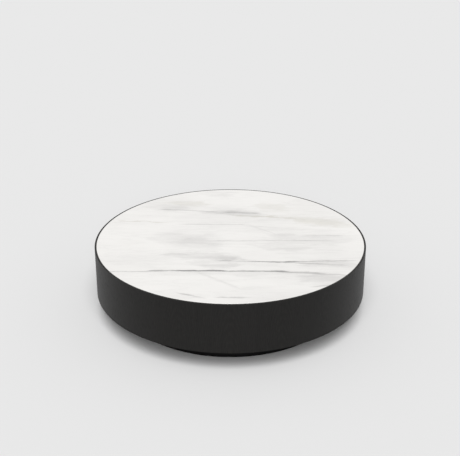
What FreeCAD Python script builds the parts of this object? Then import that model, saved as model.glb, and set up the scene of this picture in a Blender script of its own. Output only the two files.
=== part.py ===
import FreeCAD, Part
import os
import Sketcher

# A low round table: a stone slab lies in a veneered drum, and the drum floats on a recessed plinth.
# Two bent half shells are glued round a top deck and a bottom panel, with four halved ribs between.
# The plinth is a smaller drum on four levelling glides, which stand straight below the rib crossings.
# Millimetres, +Z up, the origin on the floor below the middle, and the front towards -Y.

SIZES = [
    ("top_diameter", "1100", "outside of the veneered drum"),
    ("drum_height", "202", "from the drum's bottom edge up to its rim"),
    ("plinth_rise", "87", "from the floor up to the drum's bottom edge"),
    ("plinth_inset", "110", "from the drum's side in to the plinth's side"),
    ("floor_gap", "2.5", "from the floor up to the plinth's bottom edge"),
    ("slab_thickness", "20", "stone slab"),
    ("slab_proud", "1", "slab's face above the rim"),
    ("slab_gap", "1", "open joint between the slab's edge and the shell"),
    ("slab_arris", "1", "bevel round the slab's two edges"),
    ("bumper_diameter", "20", "soft disc under the slab"),
    ("bumper_thickness", "2", "soft disc under the slab"),
    ("bumper_inset", "55", "from the slab's edge in to the outer ring of bumpers"),
    ("bumper_count", "12", "bumpers in the outer ring, twice those in the inner one"),
    ("shell_thickness", "6", "bent plywood of the drum's side"),
    ("veneer_thickness", "0.6", "face veneer of the drum's side"),
    ("lipping_height", "3", "solid strip on the shell's two edges"),
    ("edge_easing", "0.3", "bevel on the veneer and the rim"),
    ("glue_line", "0.2", "room for glue in a bent, bored or slotted joint"),
    ("deck_thickness", "18", "disc that carries the slab"),
    ("panel_thickness", "15", "disc that closes the drum"),
    ("rib_thickness", "15", "upright plywood rib"),
    ("dado_depth", "5", "slot that a rib stands in"),
    ("batten_width", "60", "upright batten behind a seam of the shell"),
    ("batten_thickness", "18", "upright batten behind a seam of the shell"),
    ("plinth_wall", "9", "bent plywood of the plinth's side"),
    ("plate_thickness", "15", "plinth's top plate"),
    ("base_thickness", "18", "plinth's base plate"),
    ("post_width", "90", "square block between the plinth's plates"),
    ("post_bore", "34", "room in a post for the stem and the nut's flange"),
    ("glide_edge_distance", "90", "from the plinth's side in to a glide's axis"),
    ("screw_shank", "4", "wood screw"),
    ("screw_head", "8", "wood screw, countersunk at a right angle"),
    ("screw_tip", "4", "pointed end of a wood screw"),
    ("screw_bite", "20", "how far a screw reaches into the piece that it holds"),
    ("screw_spread", "33", "from the middle of a post to each of its screws"),
    ("hole_clearance", "0.1", "round a screw in its hole"),
    ("bolt_diameter", "8", "bolt between plinth and drum"),
    ("bolt_head_across", "13", "over the flats of its head"),
    ("bolt_head_height", "5.5", "its head"),
    ("bolt_past_nut", "1.5", "end of the bolt beyond its nut"),
    ("bolt_clearance", "0.5", "round a bolt in its plate"),
    ("bolt_from_rib", "80", "from a rib out to a bolt's axis"),
    ("washer_diameter", "24", "washer under a bolt's head"),
    ("washer_thickness", "2", "washer under a bolt's head"),
    ("bolt_nut_flange", "22", "tee nut of a bolt"),
    ("bolt_nut_barrel", "10.5", "tee nut of a bolt"),
    ("glide_nut_flange", "26", "tee nut of a glide"),
    ("glide_nut_barrel", "13", "tee nut of a glide"),
    ("flange_thickness", "1.5", "flange of either tee nut"),
    ("barrel_short", "4", "from a nut's barrel to the far face of its plate"),
    ("thread_clearance", "0.08", "round a bolt or stem in its tee nut"),
    ("stem_diameter", "10", "threaded stem of a glide"),
    ("stem_length", "45", "stem with its collar"),
    ("stem_point", "1", "bevel on the stem's upper end"),
    ("collar_diameter", "20", "disc on the stem that the pad holds captive"),
    ("collar_thickness", "4", "disc on the stem that the pad holds captive"),
    ("collar_clearance", "0.1", "round and over the collar in its pad"),
    ("key_across", "5", "hex socket in the stem's lower end"),
    ("key_depth", "6", "hex socket in the stem's lower end"),
    ("key_hole", "8", "way through the pad for the key"),
    ("pad_diameter", "50", "glide pad"),
    ("pad_thickness", "8", "glide pad, which also sets the base plate's height"),
    ("pad_floor", "2.5", "pad below the collar"),
    ("pad_neck", "13", "opening in the pad round the stem"),
    ("pad_bevel", "1.5", "lower edge of the pad"),
]

# Radii, levels and places that follow from the sizes, each from those above it.
PLACES = [
    ("outer_radius", "sizes.top_diameter / 2", "outside of the veneer"),
    ("core_radius", "outer_radius - sizes.veneer_thickness", "outside of the shell"),
    ("lip_radius", "core_radius - sizes.shell_thickness", "inside of the shell"),
    ("disc_radius", "lip_radius - sizes.glue_line", "deck and bottom panel"),
    ("slab_radius", "lip_radius - sizes.slab_gap", "stone slab"),
    ("bumper_ring", "slab_radius - sizes.bumper_inset", "outer ring of bumpers"),
    ("rim", "sizes.plinth_rise + sizes.drum_height", "top of the drum's lip"),
    ("slab_seat", "rim + sizes.slab_proud - sizes.slab_thickness", "underside of the slab"),
    ("deck_top", "slab_seat - sizes.bumper_thickness", "upper face of the deck"),
    ("deck_under", "deck_top - sizes.deck_thickness", "underside of the deck"),
    ("panel_under", "sizes.plinth_rise + sizes.lipping_height", "underside of the drum"),
    ("panel_top", "panel_under + sizes.panel_thickness", "upper face of the bottom panel"),
    ("rib_foot", "panel_top - sizes.dado_depth", "lower edge of the ribs"),
    ("rib_top", "deck_under + sizes.dado_depth", "upper edge of the ribs"),
    ("plinth_radius", "outer_radius - sizes.plinth_inset", "outside of the plinth"),
    ("plate_radius", "plinth_radius - sizes.plinth_wall - sizes.glue_line", "both plinth plates"),
    ("plate_under", "panel_under - sizes.plate_thickness", "underside of the plinth's top plate"),
    ("base_top", "sizes.pad_thickness + sizes.base_thickness", "upper face of the base plate"),
    ("glide_ring", "plinth_radius - sizes.glide_edge_distance", "glides, on the diagonals"),
    ("crossing", "glide_ring / sqrt(2)", "from the middle to each rib, so that they cross over the glides"),
    ("slot_half", "sizes.rib_thickness / 2 + sizes.glue_line", "half a rib's slot"),
    ("rib_reach", "sqrt(disc_radius ^ 2 - (crossing + slot_half) ^ 2)", "half a rib's length"),
    ("bolt_ring", "crossing + sizes.bolt_from_rib", "bolts, on the axes"),
    ("bolt_seat", "plate_under - sizes.washer_thickness", "underside of the washers"),
    ("spread_across", "sizes.screw_spread / sqrt(2)", "a post's screw spread along either axis"),
]

UP = FreeCAD.Vector(0, 0, 1)
CORNER_NAMES = ["front_left", "front_right", "back_right", "back_left"]
CORNER_TURNS = [225, 315, 45, 135]
QUARTERS = "4"
HALF_TURN = "180"
FULL_TURN = "360"
COUNTERSINK_ANGLE = 90
HEX_SIDES = 6

doc = FreeCAD.newDocument("round_cocktail_table")
sub_parts = []


def fill_sheet(name, rows):
    """A sheet with one value to a row: its name, the value itself, and what it measures."""
    sheet = doc.addObject("Spreadsheet::Sheet", name)
    for row, (alias, content, meaning) in enumerate(rows, start=1):
        sheet.set(f"A{row}", alias)
        sheet.set(f"B{row}", content)
        sheet.set(f"C{row}", meaning)
        sheet.setAlias(f"B{row}", alias)
    doc.recompute()
    return sheet


sizes = fill_sheet("sizes", SIZES)
places = fill_sheet("places", [(alias, "=" + formula, meaning) for alias, formula, meaning in PLACES])


def number(expression):
    """What an expression on the sheets comes to."""
    return float(sizes.evalExpression(expression))


def origin_feature(body, role):
    """One of the body's own origin planes or axes."""
    return next(feature for feature in body.Origin.OriginFeatures if feature.Role == role)


def new_body(label, turn=0):
    """The body of one sub-part, turned about the table's axis by some degrees."""
    body = doc.addObject("PartDesign::Body", label)
    body.Label = label
    body.Placement = FreeCAD.Placement(FreeCAD.Vector(), FreeCAD.Rotation(UP, turn))
    sub_parts.append(body)
    return body


def new_sketch(body, name, plane, across="0", lift="0"):
    """An empty sketch on an origin plane, moved along the plane's first axis and off the plane."""
    sketch = body.newObject("Sketcher::SketchObject", name)
    sketch.AttachmentSupport = [(origin_feature(body, plane), "")]
    sketch.MapMode = "FlatFace"
    sketch.setExpression("AttachmentOffset.Base.x", across)
    sketch.setExpression("AttachmentOffset.Base.z", lift)
    return sketch


def tie_point(sketch, geometry, point, place):
    """Ties a point of the sketch to a pair of expressions, measured from the sketch's origin."""
    for kind, expression in zip(("DistanceX", "DistanceY"), place):
        constraint = Sketcher.Constraint(kind, -1, 1, geometry, point, number(expression))
        index = sketch.addConstraint(constraint)
        sketch.setExpression(f"Constraints[{index}]", expression)


def draw_corners(sketch, corners):
    """A closed outline of straight lines through corners, each a pair of expressions."""
    points = [FreeCAD.Vector(number(x), number(y), 0) for x, y in corners]
    for start, end in zip(points, points[1:] + points[:1]):
        sketch.addGeometry(Part.LineSegment(start, end))
    for index, corner in enumerate(corners):
        before = (index - 1) % len(corners)
        sketch.addConstraint(Sketcher.Constraint("Coincident", before, 2, index, 1))
        tie_point(sketch, index, 1, corner)
    return sketch


def draw_circles(sketch, diameter, centres):
    """Circles of one diameter about centres, each a pair of expressions."""
    for x, y in centres:
        centre = FreeCAD.Vector(number(x), number(y), 0)
        circle = sketch.addGeometry(Part.Circle(centre, UP, number(diameter) / 2))
        tie_point(sketch, circle, 3, (x, y))
        index = sketch.addConstraint(Sketcher.Constraint("Diameter", circle, number(diameter)))
        sketch.setExpression(f"Constraints[{index}]", diameter)
    return sketch


def hexagon(across_flats):
    """The corners of a hexagon about the sketch's origin, from its width over the flats."""
    radius = f"{across_flats} / sqrt(3)"
    turns = [f"{step} * {FULL_TURN} / {HEX_SIDES}" for step in range(HEX_SIDES)]
    return [(f"{radius} * cos({turn})", f"{radius} * sin({turn})") for turn in turns]


def flat_circles(body, name, level, diameter, centres=(("0", "0"),)):
    """Circles in a level sketch."""
    return draw_circles(new_sketch(body, name, "XY_Plane", lift=level), diameter, centres)


def upright_section(body, name, corners, across="0", forward="0"):
    """A section that stands on the XZ plane, about an axis moved to the right and to the front."""
    return draw_corners(new_sketch(body, name, "XZ_Plane", across, forward), corners)


def box_corners(low_x, high_x, low_y, high_y):
    """The corners of a rectangle."""
    return [(low_x, low_y), (high_x, low_y), (high_x, high_y), (low_x, high_y)]


def pad(body, name, sketch, length, symmetric=False):
    """Grows a sketch upwards, or to both sides."""
    feature = body.newObject("PartDesign::Pad", name)
    feature.Profile = sketch
    feature.SideType = "Symmetric" if symmetric else "One side"
    feature.setExpression("Length", length)
    return feature


def pocket(body, name, sketch, depth=None, upward=False):
    """Cuts a sketch downwards or upwards, to a depth or right through."""
    feature = body.newObject("PartDesign::Pocket", name)
    feature.Profile = sketch
    feature.Reversed = upward
    if depth is None:
        feature.Type = "ThroughAll"
    else:
        feature.setExpression("Length", depth)
    return feature


def revolve(body, name, sketch, angle=FULL_TURN):
    """Turns an upright section about its own vertical axis."""
    feature = body.newObject("PartDesign::Revolution", name)
    feature.Profile = sketch
    feature.ReferenceAxis = (sketch, ["V_Axis"])
    feature.setExpression("Angle", angle)
    return feature


def countersunk_holes(body, name, level, centres, upward=False):
    """Holes right through for wood screws, whose heads lie flush with the level."""
    shank = "sizes.screw_shank + 2 * sizes.hole_clearance"
    head = "sizes.screw_head + 2 * sizes.hole_clearance"
    sketch = flat_circles(body, name + "_spots", level, shank, centres)
    hole = body.newObject("PartDesign::Hole", name)
    hole.Profile = sketch
    doc.recompute()
    hole.DepthType = "ThroughAll"
    hole.Threaded = False
    hole.Reversed = upward
    hole.HoleCutType = "Countersink"
    hole.HoleCutCustomValues = True
    hole.HoleCutCountersinkAngle = COUNTERSINK_ANGLE
    hole.setExpression("Diameter", shank)
    hole.setExpression("HoleCutDiameter", head)
    return hole


def round_the_axis(body, name, originals, count=QUARTERS):
    """Repeats features evenly about the table's axis."""
    pattern = body.newObject("PartDesign::PolarPattern", name)
    pattern.Originals = originals
    pattern.Axis = (origin_feature(body, "Z_Axis"), [""])
    pattern.setExpression("Angle", FULL_TURN)
    pattern.setExpression("Occurrences", count)
    body.Tip = pattern
    return pattern


def round_edges(feature):
    """The names of a feature's full circular edges."""
    edges = enumerate(feature.Shape.Edges, start=1)
    return [f"Edge{index}" for index, edge in edges if isinstance(edge.Curve, Part.Circle)]


def make_marble_top():
    """Round stone slab with a small bevel on both edges."""
    body = new_body("marble_top")
    slab = pad(body, "slab", flat_circles(body, "outline", "places.slab_seat", "2 * places.slab_radius"),
               "sizes.slab_thickness")
    doc.recompute()
    arris = body.newObject("PartDesign::Chamfer", "arris")
    arris.Base = (slab, round_edges(slab))
    arris.setExpression("Size", "sizes.slab_arris")


def make_slab_bumpers():
    """Two rings of soft discs and one in the middle, on which the slab beds."""
    body = new_body("slab_bumpers")
    middle = flat_circles(body, "middle_outline", "places.deck_top", "sizes.bumper_diameter")
    pad(body, "middle_bumper", middle, "sizes.bumper_thickness")
    rings = [
        ("inner", "places.bumper_ring / 2", "sizes.bumper_count / 2"),
        ("outer", "places.bumper_ring", "sizes.bumper_count"),
    ]
    for name, radius, count in rings:
        outline = flat_circles(body, f"{name}_outline", "places.deck_top", "sizes.bumper_diameter",
                               [(radius, "0")])
        bumper = pad(body, f"{name}_bumper", outline, "sizes.bumper_thickness")
        round_the_axis(body, f"{name}_ring", [bumper], count)


def inner_screw_spots():
    """Where screws enter the front rib between its crossings, as places along the rib."""
    return ["-places.crossing / 2", "places.crossing / 2"]


def outer_screw_spots():
    """Where screws enter the front rib beyond its crossings, as places along the rib."""
    middle = "(places.crossing + places.rib_reach) / 2"
    return ["-" + middle, middle]


def rib_dado(body, level, upward):
    """The slot for the front rib, right across a disc."""
    corners = box_corners("-places.outer_radius", "places.outer_radius",
                          "-places.crossing - places.slot_half", "-places.crossing + places.slot_half")
    sketch = draw_corners(new_sketch(body, "dado_outline", "XY_Plane", lift=level), corners)
    return pocket(body, "dado", sketch, "sizes.dado_depth", upward)


def make_top_deck():
    """Disc that carries the slab, slotted below for the ribs and screwed down to them."""
    body = new_body("top_deck")
    pad(body, "disc", flat_circles(body, "outline", "places.deck_under", "2 * places.disc_radius"),
        "sizes.deck_thickness")
    dado = rib_dado(body, "places.deck_under", upward=True)
    spots = [(along, "-places.crossing") for along in inner_screw_spots() + outer_screw_spots()]
    holes = countersunk_holes(body, "screw_holes", "places.deck_top", spots)
    round_the_axis(body, "four_ribs", [dado, holes])


def make_bottom_panel():
    """Disc that closes the drum, slotted above for the ribs and bored for the plinth's bolts."""
    body = new_body("bottom_panel")
    pad(body, "disc", flat_circles(body, "outline", "places.panel_under", "2 * places.disc_radius"),
        "sizes.panel_thickness")
    dado = rib_dado(body, "places.panel_top", upward=False)
    spots = [(along, "-places.crossing") for along in inner_screw_spots()]
    holes = countersunk_holes(body, "screw_holes", "places.panel_under", spots, upward=True)
    barrel = flat_circles(body, "nut_spots", "places.panel_top",
                          "sizes.bolt_nut_barrel + 2 * sizes.glue_line", [("places.bolt_ring", "0")])
    round_the_axis(body, "four_quarters", [dado, holes, pocket(body, "nut_holes", barrel)])


def make_rib(label, turn, notched_from_top):
    """Upright rib, halved where it crosses two others and bored for the screws in its edges."""
    body = new_body(label, turn)
    middle = "(places.rib_foot + places.rib_top) / 2"
    reach = "places.rib_reach"
    plain, notched = ("places.rib_foot", "places.rib_top")
    if not notched_from_top:
        plain, notched = notched, plain
    corners = [("-" + reach, plain), (reach, plain), (reach, notched)]
    for side in ("places.crossing", "-places.crossing"):
        corners += [
            (side + " + places.slot_half", notched),
            (side + " + places.slot_half", middle),
            (side + " - places.slot_half", middle),
            (side + " - places.slot_half", notched),
        ]
    corners.append(("-" + reach, notched))
    section = upright_section(body, "side_view", corners, forward="places.crossing")
    pad(body, "board", section, "sizes.rib_thickness", symmetric=True)
    pilot = "sizes.screw_shank + 2 * sizes.hole_clearance"
    depth = "sizes.screw_bite + sizes.hole_clearance"
    upper = [(along, "-places.crossing") for along in inner_screw_spots() + outer_screw_spots()]
    lower = [(along, "-places.crossing") for along in inner_screw_spots()]
    pocket(body, "deck_pilots", flat_circles(body, "deck_spots", "places.rib_top", pilot, upper), depth)
    pocket(body, "panel_pilots", flat_circles(body, "panel_spots", "places.rib_foot", pilot, lower), depth,
           upward=True)


def make_seam_batten(label, turn):
    """Upright batten behind a seam, with its back shaped to the shell."""
    body = new_body(label, turn)
    corners = box_corners("places.lip_radius - sizes.batten_thickness", "places.core_radius",
                          "-sizes.batten_width / 2", "sizes.batten_width / 2")
    outline = draw_corners(new_sketch(body, "outline", "XY_Plane", lift="places.panel_top"), corners)
    pad(body, "blank", outline, "places.deck_under - places.panel_top")
    waste = new_sketch(body, "waste_outline", "XY_Plane", lift="places.deck_under")
    for diameter in ("2 * places.disc_radius", "2 * (places.outer_radius + sizes.batten_width)"):
        draw_circles(waste, diameter, [("0", "0")])
    pocket(body, "shaped_back", waste)


def make_half_shell(label, turn, inner, outer, low, high):
    """Half of a bent wall."""
    body = new_body(label, turn)
    revolve(body, "bend", upright_section(body, "section", box_corners(inner, outer, low, high)), HALF_TURN)


def make_half_veneer(label, turn):
    """Half of the drum's face veneer, with eased edges."""
    body = new_body(label, turn)
    low = "sizes.plinth_rise"
    face = "places.outer_radius"
    corners = [
        ("places.core_radius", low),
        (face + " - sizes.edge_easing", low),
        (face, low + " + sizes.edge_easing"),
        (face, "places.rim - sizes.edge_easing"),
        (face + " - sizes.edge_easing", "places.rim"),
        ("places.core_radius", "places.rim"),
    ]
    revolve(body, "wrap", upright_section(body, "section", corners), HALF_TURN)


def make_rim_lipping():
    """Solid strip on the shell's upper edge, eased towards the slab."""
    body = new_body("rim_lipping")
    low = "places.rim - sizes.lipping_height"
    corners = [
        ("places.lip_radius", low),
        ("places.core_radius", low),
        ("places.core_radius", "places.rim"),
        ("places.lip_radius + sizes.edge_easing", "places.rim"),
        ("places.lip_radius", "places.rim - sizes.edge_easing"),
    ]
    revolve(body, "ring", upright_section(body, "section", corners))


def make_bottom_lipping():
    """Solid strip on the shell's lower edge."""
    body = new_body("bottom_lipping")
    corners = box_corners("places.lip_radius", "places.core_radius",
                          "sizes.plinth_rise", "places.panel_under")
    revolve(body, "ring", upright_section(body, "section", corners))


def make_screws(label, turn, spots, head_level, length, pointing_up=False):
    """Wood screws at spots in one quarter of the table, and in the other three."""
    body = new_body(label, turn)
    sign = "+" if pointing_up else "-"
    shank = "sizes.screw_shank / 2"
    neck = "(sizes.screw_head - sizes.screw_shank) / 2"
    corners = [
        ("0", head_level),
        ("sizes.screw_head / 2", head_level),
        (shank, f"{head_level} {sign} {neck}"),
        (shank, f"{head_level} {sign} ({length} - sizes.screw_tip)"),
        ("0", f"{head_level} {sign} ({length})"),
    ]
    screws = []
    for index, (across, forward) in enumerate(spots, start=1):
        section = upright_section(body, f"section_{index}", corners, across, forward)
        screws.append(revolve(body, f"screw_{index}", section))
    round_the_axis(body, "four_quarters", screws)


def make_all_screws():
    """The screws of deck, bottom panel, plinth plate and base plate."""
    ribs = "places.crossing"
    deck_spots = [(along, ribs) for along in inner_screw_spots() + outer_screw_spots()]
    panel_spots = [(along, ribs) for along in inner_screw_spots()]
    plate_spots = [("places.glide_ring", "-sizes.screw_spread"),
                   ("places.glide_ring", "sizes.screw_spread")]
    base_spots = [("places.glide_ring - sizes.screw_spread", "0"),
                  ("places.glide_ring + sizes.screw_spread", "0")]
    first_corner = CORNER_TURNS[CORNER_NAMES.index("back_right")]
    make_screws("deck_screws", 0, deck_spots, "places.deck_top",
                "sizes.deck_thickness - sizes.dado_depth + sizes.screw_bite")
    make_screws("bottom_panel_screws", 0, panel_spots, "places.panel_under",
                "sizes.panel_thickness - sizes.dado_depth + sizes.screw_bite", pointing_up=True)
    make_screws("plate_screws", first_corner, plate_spots, "places.panel_under",
                "sizes.plate_thickness + sizes.screw_bite")
    make_screws("base_plate_screws", first_corner, base_spots, "sizes.pad_thickness",
                "sizes.base_thickness + sizes.screw_bite", pointing_up=True)


def make_plinth_top_plate():
    """Upper disc of the plinth, bolted to the drum and screwed down to the posts."""
    body = new_body("plinth_top_plate")
    pad(body, "disc", flat_circles(body, "outline", "places.plate_under", "2 * places.plate_radius"),
        "sizes.plate_thickness")
    spots = [("places.crossing - places.spread_across", "places.crossing + places.spread_across"),
             ("places.crossing + places.spread_across", "places.crossing - places.spread_across")]
    holes = countersunk_holes(body, "screw_holes", "places.panel_under", spots)
    bolt = flat_circles(body, "bolt_spots", "places.panel_under",
                        "sizes.bolt_diameter + 2 * sizes.bolt_clearance", [("places.bolt_ring", "0")])
    round_the_axis(body, "four_quarters", [holes, pocket(body, "bolt_holes", bolt)])


def make_plinth_base_plate():
    """Lower disc of the plinth, screwed up to the posts and bored for the glides' nuts."""
    body = new_body("plinth_base_plate")
    pad(body, "disc", flat_circles(body, "outline", "sizes.pad_thickness", "2 * places.plate_radius"),
        "sizes.base_thickness")
    spots = [("places.crossing - places.spread_across", "places.crossing - places.spread_across"),
             ("places.crossing + places.spread_across", "places.crossing + places.spread_across")]
    holes = countersunk_holes(body, "screw_holes", "sizes.pad_thickness", spots, upward=True)
    nut = flat_circles(body, "nut_spots", "places.base_top",
                       "sizes.glide_nut_barrel + 2 * sizes.glue_line",
                       [("places.crossing", "places.crossing")])
    round_the_axis(body, "four_quarters", [holes, pocket(body, "nut_holes", nut)])


def make_plinth_post(label, turn):
    """Block between the plinth's plates, bored for the stem below and for screws at both ends."""
    body = new_body(label, turn)
    half = "sizes.post_width / 2"
    outline = new_sketch(body, "outline", "XY_Plane", "places.glide_ring", "places.base_top")
    draw_corners(outline, box_corners("-" + half, half, "-" + half, half))
    pad(body, "block", outline, "places.plate_under - places.base_top")
    axis = [("places.glide_ring", "0")]
    pocket(body, "bore", flat_circles(body, "bore_spot", "places.plate_under", "sizes.post_bore", axis))
    pilot = "sizes.screw_shank + 2 * sizes.hole_clearance"
    depth = "sizes.screw_bite + sizes.hole_clearance"
    below = [("places.glide_ring - sizes.screw_spread", "0"),
             ("places.glide_ring + sizes.screw_spread", "0")]
    above = [("places.glide_ring", "-sizes.screw_spread"),
             ("places.glide_ring", "sizes.screw_spread")]
    pocket(body, "base_pilots", flat_circles(body, "base_spots", "places.base_top", pilot, below), depth,
           upward=True)
    pocket(body, "plate_pilots", flat_circles(body, "plate_spots", "places.plate_under", pilot, above),
           depth)


def make_tee_nuts(label, turn, ring, seat, plate, bore, barrel, flange):
    """Four flanged nuts: each flange lies on its plate, and each barrel reaches down into it."""
    body = new_body(label, turn)
    foot = f"{seat} - ({plate} - sizes.barrel_short)"
    top = f"{seat} + sizes.flange_thickness"
    inner = f"{bore} / 2 + sizes.thread_clearance"
    corners = [
        (inner, foot),
        (f"{barrel} / 2", foot),
        (f"{barrel} / 2", seat),
        (f"{flange} / 2", seat),
        (f"{flange} / 2", top),
        (inner, top),
    ]
    nut = revolve(body, "nut", upright_section(body, "section", corners, across=ring))
    round_the_axis(body, "four_nuts", [nut])


def make_plinth_bolts():
    """Four hex bolts that hold the plinth up against the drum."""
    body = new_body("plinth_bolts")
    head_level = "places.bolt_seat - sizes.bolt_head_height"
    head_outline = new_sketch(body, "head_outline", "XY_Plane", "places.bolt_ring", head_level)
    draw_corners(head_outline, hexagon("sizes.bolt_head_across"))
    head = pad(body, "head", head_outline, "sizes.bolt_head_height")
    shank_outline = flat_circles(body, "shank_outline", "places.bolt_seat", "sizes.bolt_diameter",
                                 [("places.bolt_ring", "0")])
    shank = pad(body, "shank", shank_outline,
                "places.panel_top + sizes.flange_thickness + sizes.bolt_past_nut - places.bolt_seat")
    round_the_axis(body, "four_bolts", [head, shank])


def make_bolt_washers():
    """Four washers between the bolt heads and the plinth's top plate."""
    body = new_body("bolt_washers")
    outline = new_sketch(body, "outline", "XY_Plane", lift="places.bolt_seat")
    for diameter in ("sizes.washer_diameter", "sizes.bolt_diameter + 2 * sizes.bolt_clearance"):
        draw_circles(outline, diameter, [("places.bolt_ring", "0")])
    washer = pad(body, "washer", outline, "sizes.washer_thickness")
    round_the_axis(body, "four_washers", [washer])


def make_glide_pad(label, turn):
    """Pad that slides on the floor and holds the stem's collar captive in an undercut pocket."""
    body = new_body(label, turn)
    edge = "sizes.pad_diameter / 2"
    pocket_wall = "sizes.collar_diameter / 2 + sizes.collar_clearance"
    pocket_roof = "sizes.pad_floor + sizes.collar_thickness + sizes.collar_clearance"
    corners = [
        ("sizes.key_hole / 2", "0"),
        (edge + " - sizes.pad_bevel", "0"),
        (edge, "sizes.pad_bevel"),
        (edge, "sizes.pad_thickness"),
        ("sizes.pad_neck / 2", "sizes.pad_thickness"),
        ("sizes.pad_neck / 2", pocket_roof),
        (pocket_wall, pocket_roof),
        (pocket_wall, "sizes.pad_floor"),
        ("sizes.key_hole / 2", "sizes.pad_floor"),
    ]
    revolve(body, "moulding", upright_section(body, "section", corners, across="places.glide_ring"))


def make_glide_stem(label, turn):
    """Stem that turns in its tee nut to level the table, with a captive collar and a hex socket."""
    body = new_body(label, turn)
    radius = "sizes.stem_diameter / 2"
    collar_top = "sizes.pad_floor + sizes.collar_thickness"
    stem_top = "sizes.pad_floor + sizes.stem_length"
    corners = [
        ("0", "sizes.pad_floor"),
        ("sizes.collar_diameter / 2", "sizes.pad_floor"),
        ("sizes.collar_diameter / 2", collar_top),
        (radius, collar_top),
        (radius, stem_top + " - sizes.stem_point"),
        (radius + " - sizes.stem_point", stem_top),
        ("0", stem_top),
    ]
    revolve(body, "turned", upright_section(body, "section", corners, across="places.glide_ring"))
    socket = new_sketch(body, "socket_outline", "XY_Plane", "places.glide_ring", "sizes.pad_floor")
    draw_corners(socket, hexagon("sizes.key_across"))
    pocket(body, "socket", socket, "sizes.key_depth", upward=True)


def make_drum():
    """Everything above the plinth."""
    make_marble_top()
    make_slab_bumpers()
    make_top_deck()
    make_bottom_panel()
    make_rib("rib_front", 0, notched_from_top=True)
    make_rib("rib_right", 90, notched_from_top=False)
    make_rib("rib_back", 180, notched_from_top=True)
    make_rib("rib_left", 270, notched_from_top=False)
    make_seam_batten("seam_batten_right", 0)
    make_seam_batten("seam_batten_left", 180)
    for side, turn in (("back", 0), ("front", 180)):
        make_half_shell(f"side_shell_{side}", turn, "places.lip_radius", "places.core_radius",
                        "places.panel_under", "places.rim - sizes.lipping_height")
        make_half_veneer(f"oak_veneer_{side}", turn)
    make_rim_lipping()
    make_bottom_lipping()


def make_plinth():
    """The recessed base, its bolts to the drum and its levelling glides."""
    make_plinth_top_plate()
    make_plinth_base_plate()
    for side, turn in (("back", 0), ("front", 180)):
        make_half_shell(f"plinth_side_{side}", turn, "places.plinth_radius - sizes.plinth_wall",
                        "places.plinth_radius", "sizes.floor_gap", "places.panel_under")
    make_plinth_bolts()
    make_bolt_washers()
    make_tee_nuts("bolt_tee_nuts", 0, "places.bolt_ring", "places.panel_top", "sizes.panel_thickness",
                  "sizes.bolt_diameter", "sizes.bolt_nut_barrel", "sizes.bolt_nut_flange")
    make_tee_nuts("glide_tee_nuts", CORNER_TURNS[0], "places.glide_ring", "places.base_top",
                  "sizes.base_thickness", "sizes.stem_diameter", "sizes.glide_nut_barrel",
                  "sizes.glide_nut_flange")
    for corner, turn in zip(CORNER_NAMES, CORNER_TURNS):
        make_plinth_post(f"plinth_post_{corner}", turn)
        make_glide_pad(f"glide_pad_{corner}", turn)
        make_glide_stem(f"glide_stem_{corner}", turn)


def check_document():
    """Stops at a failed object, a cut that removes nothing, or a sub-part without a sound solid."""
    for item in doc.Objects:
        if {"Invalid", "Error"} & set(item.State):
            raise RuntimeError(f"{item.Label} failed: {item.State}")
        if item.TypeId in ("PartDesign::Pocket", "PartDesign::Hole"):
            if item.Shape.Volume >= item.BaseFeature.Shape.Volume:
                raise RuntimeError(f"{item.Label} cuts nothing")
    for part in sub_parts:
        if part.Shape.isNull() or not part.Shape.isValid() or not part.Shape.Solids:
            raise RuntimeError(f"{part.Label} has no sound solid")


def write_parts():
    """One file to a sub-part, named after its label."""
    os.makedirs("parts", exist_ok=True)
    for part in sub_parts:
        part.Shape.exportStep(f"parts/{part.Label}.step")
        print(part.Label, len(part.Shape.Solids), "solids", round(part.Shape.Volume), "mm3")


make_drum()
make_plinth()
make_all_screws()
doc.recompute()
check_document()
write_parts()
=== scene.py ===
from functools import partialmethod
from math import atan2, cos, pi, radians, sin, sqrt
from typing import NamedTuple

import bmesh
import bpy
from bmesh.types import BMEdge, BMFace, BMVert
from bpy.props import FloatProperty, FloatVectorProperty, IntProperty, PointerProperty
from bpy.types import NodeSocket, Operator, Panel, PropertyGroup
from mathutils import Matrix, Vector


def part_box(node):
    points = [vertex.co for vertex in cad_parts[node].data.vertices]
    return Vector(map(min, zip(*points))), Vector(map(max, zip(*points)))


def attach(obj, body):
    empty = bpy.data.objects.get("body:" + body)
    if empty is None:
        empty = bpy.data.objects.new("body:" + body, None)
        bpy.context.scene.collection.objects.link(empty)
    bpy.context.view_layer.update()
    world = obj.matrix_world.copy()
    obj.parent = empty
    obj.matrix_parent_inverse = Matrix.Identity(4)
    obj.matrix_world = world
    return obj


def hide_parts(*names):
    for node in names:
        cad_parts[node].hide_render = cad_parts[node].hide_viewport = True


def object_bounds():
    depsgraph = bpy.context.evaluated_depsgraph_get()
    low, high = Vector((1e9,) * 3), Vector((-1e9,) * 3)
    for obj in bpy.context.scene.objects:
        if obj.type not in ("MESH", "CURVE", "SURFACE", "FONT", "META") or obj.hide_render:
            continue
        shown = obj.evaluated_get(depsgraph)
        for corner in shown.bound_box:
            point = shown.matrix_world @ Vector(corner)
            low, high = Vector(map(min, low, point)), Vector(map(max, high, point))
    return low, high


bl_info = {
    "name": "Round Cocktail Table",
    "version": (1, 0, 0),
    "blender": (4, 5, 0),
    "location": "3D View > Sidebar > Table",
    "description": "Stone slab in a black oak drum, on a recessed plinth with levelling glides",
    "category": "Object",
}

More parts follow.
